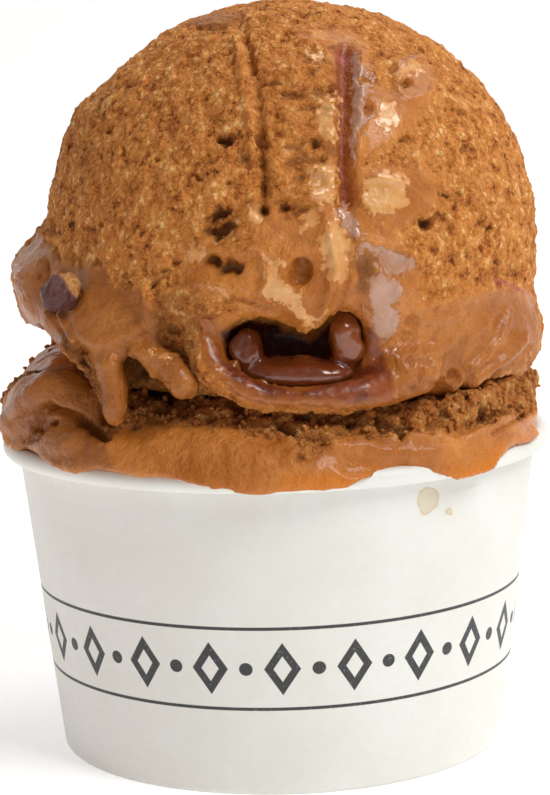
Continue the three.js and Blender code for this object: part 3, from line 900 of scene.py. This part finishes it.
def carved(shaken, pitted, side, lines, pits):
    """The rise of one side's lines and the depth of its pits, in millimetres."""
    rise = np.zeros(len(shaken))
    for line, width, height in lines:
        rise += height * side * stroke(shaken, line, width)
    return rise, side * pit_depth(pitted, pits)


def soften(mesh, share, times):
    """Smooths the points whose share is over a half."""
    shape = bmesh.new()
    shape.from_mesh(mesh)
    chosen = [vert for vert, part in zip(shape.verts, share) if part > 0.5]
    smooth_out(shape, chosen, times)
    shape.to_mesh(mesh)
    shape.free()
    mesh.update()


def top_zones(points, normals):
    """Where the upper portion is seen, hidden, torn and wet, and its places with ragged edges."""
    places = photo_place(points)
    behind = photo_place(points * HALF_TURN)
    zone = SimpleNamespace(places=places)
    zone.seen = sight(points, normals)
    zone.hidden = sight(points * HALF_TURN, normals * HALF_TURN)
    zone.wide = ragged(points, places, 4, 2.5)
    zone.close = ragged(points, places, 1.5, 1.5, 9)
    zone.pitted = ragged(points, places, 5, 1.8, 40)
    zone.back = ragged(points, behind, 9, 4, 50)
    low = smooth_step(points[:, 2] + 6 * lumps(points, 9, 2, 3), *TOP_MELT)
    drawn = np.maximum.reduce([area(zone.wide, MELTED_FRONT, 22), area(zone.wide, MELTED_LEFT, 10),
                               0.5 * area(zone.wide, TOP_CREASE),
                               0.55 * area(zone.wide, TORN_WET, 12)])
    drawn *= 1 - area(zone.wide, CRUMBLY_LEFT, 6)
    melted = area(zone.back, MELTED_BACK, 8)
    zone.wet = zone.seen * drawn + (1 - zone.seen) * np.maximum(low, zone.hidden * melted)
    zone.torn = zone.seen * area(zone.wide, TORN_WET, 12)
    zone.flakes = lumps(points @ FLAKE_STRETCH, 1.0, 3, 38)
    return zone


def ring_rise(places):
    """The raised rims and the hollow middles of the rings, in millimetres."""
    rise = np.zeros(len(places))
    for x, y, radius, height in RINGS:
        off = spot(places, x, y, radius, radius)
        rise += height * smooth_step(np.abs(off - 1), 0.35, 0)
        rise -= 2 * height * smooth_step(off, 0.9, 0.4)
    return rise


def top_relief(points, zone):
    """The rise of the upper portion's forms and the depth of its pits, in millimetres."""
    rise = (0.4 * lumps(points, 6, 3, 8) + 0.18 * lumps(points, 2.4, 3, 18)) * zone.wet
    rise += (0.45 * lumps(points, 5, 3, 28) + 0.25 * lumps(points, 2.2, 3, 48)) * (1 - zone.wet)
    rise += 1.15 * zone.torn * zone.flakes * (1 - stroke(zone.places, CHANNEL, 34))
    front_rise, hollows = carved(zone.close, zone.pitted, zone.seen, LINES, PITS)
    back_rise, back_hollows = carved(zone.back, zone.back, 1.3 * zone.hidden, BACK_LINES, BACK_PITS)
    rise += front_rise + back_rise + zone.seen * ring_rise(zone.places)
    return rise, np.maximum(hollows, back_hollows)


def top_crumb(points, zone):
    """The crumb's rise on the upper portion's dry places, in millimetres, and its pores."""
    grain = grains(points, GRAIN * 1.4) - 0.5 + 0.6 * lumps(points, GRAIN, 2, 4)
    dry = np.clip(1 - zone.wet + 0.9 * zone.torn, 0, 1)
    pores = smooth_step(lumps(points, 2.4, 2, 12), 0.45, 0.75)
    return GRAIN_RELIEF * (grain - 1.8 * pores) * dry, pores


def top_tones(mesh, zone, hollows, pores):
    """Keeps where the upper portion is wet, rosy or under caramel, and where it gets painted shade: in
    pits, pores, grooves, flake gaps, beside and under the drips, and partly in the hollow and on its brown
    places.
    """
    keep(mesh, "wet", zone.wet * (1 - 0.5 * zone.torn))
    caramel = np.maximum(area(zone.wide, LIP, 10), stroke(zone.places, CHANNEL, 36))
    keep(mesh, "caramel", zone.seen * caramel)
    # The hollow's walls get the deep caramel tone, partly sauce and partly painted shade inside the hollow
    keep(mesh, "deep", zone.seen * area(zone.wide, HOLLOW, 8))
    # Painted shade in the pits, the groove, the cavities under and beside the drips, the gaps between
    # flakes, the back grooves and the pores
    dark = 0.85 * smooth_step(hollows, 0.4, 1.6) + 0.2 * zone.seen * stroke(zone.close, GROOVE, 12)
    dark += 0.8 * zone.seen * stroke(zone.wide, SHADE_UNDER_DRIPS, 40)
    dark += 0.65 * zone.seen * stroke(zone.wide, SHADE_BESIDE_DRIPS, 30)
    dark += 0.45 * zone.torn * smooth_step(-zone.flakes, 0.15, 0.55)
    for line, width, height in BACK_LINES:
        if height < 0:
            dark += 0.35 * zone.hidden * stroke(zone.back, line, width * 0.7)
    keep(mesh, "pit", dark + 0.3 * pores * (1 - zone.wet))
    # Browner places, partly painted shade: the left side away from the light, the crease and the olive
    # hollow
    brown = 0.7 * area(zone.wide, OLIVE_HOLLOW, 8) + 0.35 * area(zone.wide, CRUMBLY_LEFT, 8)
    brown += 0.3 * area(zone.wide, MELTED_LEFT, 12) + 0.4 * area(zone.wide, TOP_CREASE)
    brown += 0.18 * area(zone.wide, BULGE, 16)
    keep(mesh, "brown_and_shade", zone.seen * brown)
    rosy = 0.7 * stroke(zone.close, CHANNEL_HEAD, 16) + stroke(zone.close, FRUIT_SPECK, 6)
    keep(mesh, "rose", zone.seen * rosy)


def sculpt_top(mesh):
    """Melts, grooves, pits and crumb on the upper portion."""
    points, normals = read_shape(mesh)
    zone = top_zones(points, normals)
    rise, hollows = top_relief(points, zone)
    move_out(mesh, points, normals, rise - hollows)
    soften(mesh, zone.wet, 2)
    points, normals = read_shape(mesh)
    rise, pores = top_crumb(points, zone)
    move_out(mesh, points, normals, rise)
    top_tones(mesh, zone, hollows, pores)


# Places on the lower portion, in pixels of the photograph's frame

POROUS = [
    (104, 434), (130, 428), (160, 424), (195, 424), (230, 430), (262, 437), (285, 441), (300, 458),
    (325, 452), (340, 440), (380, 438), (410, 434), (440, 430), (480, 425), (520, 418), (541, 412),
    (548, 340), (104, 340),
]
LOBES_LEFT = [
    (0, 412), (30, 388), (54, 370), (95, 374), (110, 405), (104, 430), (114, 472), (20, 462), (0, 430),
]
MELTED_EDGE = [
    (293, 484), (341, 483), (356, 474), (380, 468), (416, 470), (430, 480), (458, 476), (475, 467),
    (494, 454), (517, 450), (534, 443), (541, 430), (540, 420),
]
SAGGED_EDGE = [(352, 462), (400, 460), (452, 466), (486, 456)]
BASE_LINES = [
    ([(10, 424), (26, 400), (52, 382), (75, 378), (92, 386), (100, 404)], 32, 1.8),
    ([(22, 446), (34, 430), (42, 414), (52, 404)], 12, -0.9),
    ([(46, 410), (64, 412), (75, 416), (86, 424), (98, 431), (106, 439)], 13, -2.8),
    ([(110, 380), (112, 400), (108, 424)], 14, -1.5),
    ([(31, 440), (40, 437), (46, 428)], 8, -1.2),
    ([(60, 446), (84, 440), (104, 448)], 26, 0.6),
    ([(290, 453), (331, 447), (370, 446), (410, 450), (440, 450)], 16, 0.6),
    ([(272, 446), (292, 442)], 10, 0.4),
    ([(292, 410), (308, 414), (326, 418)], 11, -1.5),
    ([(345, 427), (375, 431), (406, 425)], 10, -1.4),
    ([(430, 427), (455, 414), (480, 403)], 8, -0.9),
    ([(440, 432), (468, 418), (498, 405)], 9, 0.7),
    ([(455, 434), (485, 418), (515, 403)], 8, -0.9),
    ([(470, 436), (500, 422), (528, 410)], 9, 0.7),
    ([(495, 432), (520, 418), (536, 407)], 8, -0.8),
]
BASE_PITS = [
    (54, 421, 5, 5, 0, 1.6), (38, 427, 5, 4, 0, 0.8), (300, 458, 8, 5, 0, 0.9), (322, 440, 6, 5, 0, 1.0),
    (284, 428, 7, 5, 0, 1.3), (399, 430, 7, 5, 0, 1.2), (148, 385, 16, 12, 20, 1.6),
    (168, 396, 14, 7, 15, 1.6), (192, 402, 8, 8, 0, 1.2), (302, 414, 10, 7, 0, 1.4),
]


def base_zones(points, normals):
    """Where the lower portion is seen, wet and porous, and its places with ragged edges."""
    zone = SimpleNamespace(places=photo_place(points))
    zone.seen = sight(points, normals)
    zone.wide = ragged(points, zone.places, 5, 2.0)
    zone.close = ragged(points, zone.places, 1.5, 1.5, 9)
    around = smooth_step(points[:, 2] + 1.6 * lumps(points, 6, 2, 3), *BASE_MELT)
    drawn = np.maximum(1 - area(zone.wide, POROUS, 6), area(zone.wide, LOBES_LEFT, 6))
    zone.wet = zone.seen * drawn + (1 - zone.seen) * around
    zone.pores = smooth_step(lumps(points, 2.8, 4, 14), 0.15, 0.55) * (1 - zone.wet)
    zone.hollows = zone.seen * pit_depth(zone.wide, BASE_PITS)
    return zone


def base_relief(points, zone):
    """The lower portion's rise in millimetres; the thin skirt over the rim only gains."""
    crumbs = lumps(points, 3.2, 4, 4) + 0.5 * (grains(points, 1.5) - 0.5)
    rise = (0.4 * lumps(points, 6, 3, 8) + 0.14 * lumps(points, 2.4, 2, 18)) * zone.wet
    rise += 0.7 * crumbs * (1 - zone.wet) - 1.3 * zone.pores
    for line, width, height in BASE_LINES:
        rise += height * zone.seen * stroke(zone.close, line, width)
    return np.where(points[:, 2] < SKIRT_TOP, np.maximum(rise, 0), rise - zone.hollows)


def sculpt_base(mesh):
    """A porous band over a smooth melted one, and the melted lobes on the left."""
    points, normals = read_shape(mesh)
    zone = base_zones(points, normals)
    rise = base_relief(points, zone)
    points[:, 2] -= SAG * zone.seen * stroke(zone.places, SAGGED_EDGE, 44)
    move_out(mesh, points, normals, rise)
    points = points + normals * rise[:, None]
    keep(mesh, "wet", zone.wet)
    # Painted shade under the overhanging ball, in the pores and in the hollows
    under = smooth_step(points[:, 2], *SHADE_UNDER_BALL) * (1 - zone.wet)
    keep(mesh, "pit", 0.7 * zone.pores + 0.45 * under + 0.7 * smooth_step(zone.hollows, 0.4, 1.4))
    low = smooth_step(points[:, 2] + 0.6 * lumps(points, 4, 2, 30), *RIM_AMBER)
    keep(mesh, "amber", 0.7 * zone.seen * stroke(zone.places, MELTED_EDGE, 40) + 0.25 * low)
    # Browner left lobes and dry crumb, partly painted shade on the side away from the light
    keep(mesh, "brown_and_shade", 0.4 * zone.seen * area(zone.wide, LOBES_LEFT, 10) + 0.25 * (1 - zone.wet))


def bare_spots(mesh):
    """The lower portion's points and normals, and which points are rough, above the rim and near it."""
    points, normals = read_shape(mesh)
    wet = np.empty(len(points), np.float32)
    mesh.attributes["wet"].data.foreach_get("value", wet)
    near_rim = np.hypot(points[:, 0], points[:, 1]) > CRUMBS_FROM_RADIUS
    above_rim = points[:, 2] > CUP_HEIGHT + 1
    return points, normals, np.where((wet < DRY_ENOUGH) & above_rim & near_rim)[0]


def broken_crumb(shape, pick, point, normal):
    """Adds one small uneven crumb, sunk a little into the surface."""
    size = float(pick.uniform(*CRUMB_SIZES))
    made = bmesh.ops.create_uvsphere(shape, u_segments=7, v_segments=5, radius=size * MM)
    seed = Vector(pick.uniform(-50, 50, 3))
    stretch = Vector(pick.uniform(*CRUMB_STRETCH, 3))
    centre = Vector((point + normal * size * 0.2) * MM)
    for vert in made["verts"]:
        way = vert.co / (size * MM)
        vert.co = vert.co * (1 + 0.7 * noise.noise(way * 1.2 + seed)) * stretch + centre


def loose_crumbs(base, finish):
    """Small broken crumbs on the porous band of the lower portion, made a batch at a time."""
    points, normals, bare = bare_spots(base.data)
    pick = np.random.default_rng(CRUMB_SEED)
    joined = bmesh.new()
    for _ in range(CRUMB_BATCHES):
        shape = bmesh.new()
        for index in pick.choice(bare, CRUMBS_A_BATCH, replace=False):
            broken_crumb(shape, pick, points[index], normals[index])
        batch = bpy.data.meshes.new("crumb_batch")
        shape.to_mesh(batch)
        shape.free()
        joined.from_mesh(batch)
    crumbs = bpy.data.meshes.new("crumbs")
    joined.to_mesh(crumbs)
    joined.free()
    keep(crumbs, "brown_and_shade", np.full(len(crumbs.vertices), 0.2))
    return place_piece("loose_crumbs", crumbs, None, finish)


def sheet_depth(points, outlines, holes, shake):
    """Distance in from a wet layer's ragged edge, in pixels, negative outside it."""
    moved = ragged(points, photo_place(points), shake, SHEET_RAGS, 20)
    inside = np.maximum.reduce([depth_inside(moved, outline) for outline in outlines])
    for x, y, wide, high, turn in holes:
        off = (spot(moved, x, y, wide, high, turn) - 1) * min(wide, high)
        inside = np.minimum(inside, off)
    return inside


def cut_away(shape, outlines, holes, shake, margin=0):
    """Deletes the faces that are out of sight, or outside a wet layer by more than a margin."""
    centres = np.array([f.calc_center_median() for f in shape.faces]) / MM
    normals = np.array([f.normal for f in shape.faces])
    inside = sheet_depth(centres, outlines, holes, shake) >= -margin
    inside &= facing(centres, normals) > SHOWN
    gone = [f for f, stays in zip(shape.faces, inside) if not stays]
    bmesh.ops.delete(shape, geom=gone, context="FACES")


def lift_sheet(shape, outlines, holes, shake, lift):
    """Lifts a wet layer off the surface in millimetres, less at its edge."""
    points = np.array([v.co for v in shape.verts]) / MM
    normals = np.array([v.normal for v in shape.verts])
    rise = lift * smooth_step(sheet_depth(points, outlines, holes, shake), -2, 5)
    rise *= facing(points, normals) > SHOWN
    for vert, up in zip(shape.verts, rise):
        vert.co += vert.normal * float(up) * MM


def wet_sheet(name, source, outlines, holes, material, lift, shake, fade=4.0):
    """A thin wet layer on the sculpted surface, inside outlines in the photograph's frame."""
    shape = bmesh.new()
    shape.from_mesh(source)
    shape.normal_update()
    cut_away(shape, outlines, holes, shake, SHEET_MARGIN)
    bmesh.ops.subdivide_edges(shape, edges=shape.edges, cuts=3, use_grid_fill=True)
    smooth_out(shape, [v for v in shape.verts if not v.is_boundary], SHEET_SMOOTHING)
    shape.normal_update()
    cut_away(shape, outlines, holes, shake)
    lift_sheet(shape, outlines, holes, shake, lift)
    bmesh.ops.solidify(shape, geom=shape.faces, thickness=SHEET_THICKNESS * MM)
    bmesh.ops.recalc_face_normals(shape, faces=shape.faces)
    mesh = bpy.data.meshes.new(name)
    shape.to_mesh(mesh)
    shape.free()
    points = read_shape(mesh)[0]
    keep(mesh, "body", smooth_step(sheet_depth(points, outlines, [], shake), -1, fade))
    return place_piece(name, mesh, None, material)


def upper_portion(finish):
    """The scooped ball."""
    mesh = fine_copy("top_portion", TOP_CELL, TOP_SMOOTHING, toward_camera)
    sculpt_top(mesh)
    return place_piece("upper_portion", mesh, "top_portion", finish)


def wet_layers(surface):
    """Milky film with a lilac tone partly painted as reflection, pale patches of painted highlight, and
    caramel glaze on the upper portion.
    """
    # A milky film whose lilac tone is partly a painted reflection, including the highlight streak on the
    # left lobe
    film = gloss_finish("film", MILKY_FILM_AND_SHEEN, FILM_SHEEN_WARM, roughness=0.25)
    wet_sheet("milky_film_and_sheen", surface, FILM_AND_SHEEN_PATCHES, FILM_HOLES, film, lift=0.16, shake=5)
    # Pale patches of painted highlight, lifted as a thin wet layer
    pale = gloss_finish("painted_highlight_melt", PEACH, PEACH_WARM, roughness=0.25, edge=GELATO_MID)
    wet_sheet("painted_highlight_melt", surface, PAINTED_HIGHLIGHTS, [], pale, lift=0.06, shake=8, fade=7)
    glaze = gloss_finish("glaze", GLAZE_LIGHT, GLAZE_DARK, roughness=0.34, coat=0.3)
    wet_sheet("caramel_glaze", surface, [LIP], [], glaze, lift=0.2, shake=2.5, fade=12)


def lower_portion(finish):
    """The gelato that fills the cup and melts over its rim."""
    mesh = fine_copy("base_portion", BASE_CELL, BASE_SMOOTHING)
    sculpt_base(mesh)
    return place_piece("lower_portion", mesh, "base_portion", finish)


def caramel_pool(finish):
    """The sauce in the hollow: a front painted lighter brown as if lit, and two lumps."""
    mesh = fine_copy("caramel_pool", SAUCE_CELL, SAUCE_SMOOTHING)
    points, normals = read_shape(mesh)
    lump_share = smooth_step(points[:, 2], *SAUCE_LUMPS)
    right_side = smooth_step(points[:, 0], -1, 5)
    # The pool's front is painted lighter brown, as lit; the thin share carries this painted light as well
    # as the thinner sauce on the lumps
    front = smooth_step(photo_place(points)[:, 1], *SAUCE_LIT_FRONT)
    rise = 0.35 * lumps(points, 4.5, 2, 6) + 0.5 * lump_share * lumps(points, 3.2, 3, 6)
    move_out(mesh, points, normals, rise)
    keep(mesh, "thin", np.maximum(lump_share * (0.4 + 0.6 * right_side), 0.55 * front))
    return place_piece("caramel_sauce", mesh, "caramel_pool", finish)


def nut_chip(finish):
    """The broken nut, with skin on the side away from the ball."""
    mesh = fine_copy("nut_piece", NUT_CELL, NUT_SMOOTHING)
    points, normals = read_shape(mesh)
    move_out(mesh, points, normals, 0.55 * lumps(points, 2.2, 3, 1))
    torn = ragged(points, photo_place(points), 5, 1.4, 60)
    keep(mesh, "skin", smooth_step(torn @ SKIN_WAY, *SKIN_EDGE))
    return place_piece("nut_chip", mesh, "nut_piece", finish)


def cup_profile():
    """The cup's section from the floor's underside round the wall and bead and back to the floor."""
    slope = (WALL_TOP - FOOT_RADIUS) / BEAD_Z

    def outer(z):
        return FOOT_RADIUS + slope * z

    def inner(z):
        return outer(z) - PAPER

    def bead(radius, start, end, steps):
        turns = [math.radians(start + (end - start) * n / steps) for n in range(steps + 1)]
        return [(BEAD_R + radius * math.cos(a), BEAD_Z + radius * math.sin(a)) for a in turns]

    return [
        (inner(FLOOR_HEIGHT) - FOOT_FOLD, FLOOR_HEIGHT),
        (inner(0) - FOOT_FOLD, FOOT_EDGE),
        (inner(0) - FOOT_FOLD + FOOT_EDGE, 0.0),
        *[(outer(z), z) for z in WALL_RINGS],
        (outer(WALL_END), WALL_END),
        *bead(BEAD_RADIUS - PAPER, CURL_START, CURL_END, 16),
        *bead(BEAD_RADIUS, CURL_END, BEAD_END, 20),
        (inner(FLOOR_HEIGHT + PAPER), FLOOR_HEIGHT + PAPER),
    ]


def paper_cup(finish):
    """The paper cup, spun from its section, with the floor closed at the middle."""
    shape = bmesh.new()
    section = [(0.0, FLOOR_HEIGHT), *cup_profile(), (0.0, FLOOR_HEIGHT + PAPER)]
    verts = [shape.verts.new((r * MM, 0, z * MM)) for r, z in section]
    edges = [shape.edges.new(pair) for pair in zip(verts[:-1], verts[1:])]
    bmesh.ops.spin(shape, geom=verts + edges, axis=(0, 0, 1), cent=(0, 0, 0),
                   angle=2 * math.pi, steps=CUP_STEPS, use_merge=True)
    bmesh.ops.remove_doubles(shape, verts=shape.verts, dist=0.002 * MM)
    bmesh.ops.recalc_face_normals(shape, faces=shape.faces)
    mesh = bpy.data.meshes.new("cup")
    shape.to_mesh(mesh)
    shape.free()
    return place_piece("cup", mesh, "paper_cup", finish)


# The studio, in metres: a floor that curves up behind, and soft lights

FLOOR_REACH = 6.0
CURVE_FROM = 0.5
CURVE_RADIUS = 0.6
CURVE_STEPS = 10
WALL_HEIGHT = 1.6
FLOOR_GLOW = 0.4
ROOM_LIGHT = 0.16
LIGHTS_AIM = Vector((0, 0, 0.07))

# Each light's name, place, size, power in watts, tint and share in the highlights
LIGHTS = [
    ("window", (0.46, -0.40, 0.74), 0.40, 5.7, (1.0, 0.985, 0.96), 1.0),
    ("sky", (0.28, 0.20, 0.80), 0.5, 2.4, (1.0, 1.0, 1.0), 1.0),
    ("front_fill", (-0.10, -0.85, 0.30), 0.5, 0.2, (1.0, 1.0, 1.0), 1.0),
    ("rose_bounce", (-0.55, -0.25, 0.12), 0.4, 0.32, (1.0, 0.58, 0.48), 0.2),
]


def floor_sheet():
    """The floor's mesh: flat, then a quarter round, then upright behind the cup."""
    shape = bmesh.new()
    turns = [math.radians(90 * n / CURVE_STEPS) for n in range(1, CURVE_STEPS + 1)]
    section = [(-FLOOR_REACH, 0.0), (CURVE_FROM, 0.0)]
    section += [(CURVE_FROM + CURVE_RADIUS * math.sin(a), CURVE_RADIUS * (1 - math.cos(a))) for a in turns]
    section.append((CURVE_FROM + CURVE_RADIUS, WALL_HEIGHT))
    verts = [shape.verts.new((-FLOOR_REACH, y, z)) for y, z in section]
    edges = [shape.edges.new(pair) for pair in zip(verts[:-1], verts[1:])]
    out = bmesh.ops.extrude_edge_only(shape, edges=edges)
    moved = [v for v in out["geom"] if isinstance(v, bmesh.types.BMVert)]
    bmesh.ops.translate(shape, verts=moved, vec=(2 * FLOOR_REACH, 0, 0))
    bmesh.ops.recalc_face_normals(shape, faces=shape.faces)
    mesh = bpy.data.meshes.new("floor")
    shape.to_mesh(mesh)
    shape.free()
    return mesh


def pale_floor():
    """A pale floor that glows a little, so that it stays white as in the photograph."""
    mesh = floor_sheet()
    material = new_material("pale_floor")
    set_look(material, {"Base Color": (0.93, 0.93, 0.92, 1), "Roughness": 0.9,
                        "Emission Color": (1, 1, 1, 1), "Emission Strength": FLOOR_GLOW})
    mesh.materials.append(material)
    mesh.polygons.foreach_set("use_smooth", [True] * len(mesh.polygons))
    floor = bpy.data.objects.new("floor", mesh)
    bpy.context.scene.collection.objects.link(floor)


def soft_box(name, place, size, power, tint, shine):
    """A square area light aimed at the gelato, with a share of it in the highlights."""
    light = bpy.data.lights.new(name, "AREA")
    light.size = size
    light.energy = power
    light.color = tint
    light.specular_factor = shine
    lamp = bpy.data.objects.new(name, light)
    lamp.location = place
    aim = LIGHTS_AIM - Vector(place)
    lamp.rotation_euler = aim.to_track_quat("-Z", "Y").to_euler()
    bpy.context.scene.collection.objects.link(lamp)


def studio():
    """The floor, the room's own light and the soft boxes."""
    pale_floor()
    world = bpy.data.worlds.new("soft_room")
    world.use_nodes = True
    background = world.node_tree.nodes["Background"]
    background.inputs["Color"].default_value = (1, 1, 1, 1)
    background.inputs["Strength"].default_value = ROOM_LIGHT
    bpy.context.scene.world = world
    for light in LIGHTS:
        soft_box(*light)


def photo_camera():
    """The camera at the photograph's angle, distance and roll."""
    eye, right, up, forward = camera_axes()
    turn = math.radians(CAMERA_ROLL)
    rolled_right = math.cos(turn) * right - math.sin(turn) * up
    rolled_up = math.sin(turn) * right + math.cos(turn) * up
    camera = bpy.data.objects.new("camera", bpy.data.cameras.new("camera"))
    camera.data.sensor_width = SENSOR
    camera.data.lens = SENSOR * FOCAL_PIXELS / PHOTO_HEIGHT
    camera.data.clip_start = 0.01
    axes = Matrix((rolled_right, rolled_up, -forward)).transposed()
    camera.matrix_world = Matrix.Translation(Vector(eye) * MM) @ axes.to_4x4()
    bpy.context.scene.collection.objects.link(camera)
    bpy.context.scene.camera = camera


gelato = gelato_finish("gelato")
caramel = caramel_finish("caramel")
upper = upper_portion(gelato)
lower = lower_portion(gelato)
loose_crumbs(lower, gelato)
wet_layers(upper.data)
caramel_pool(caramel)
nut_chip(nut_finish("nut"))
paper_cup(paper_finish("paper"))
studio()
photo_camera()
bpy.context.scene.view_settings.view_transform = "Standard"
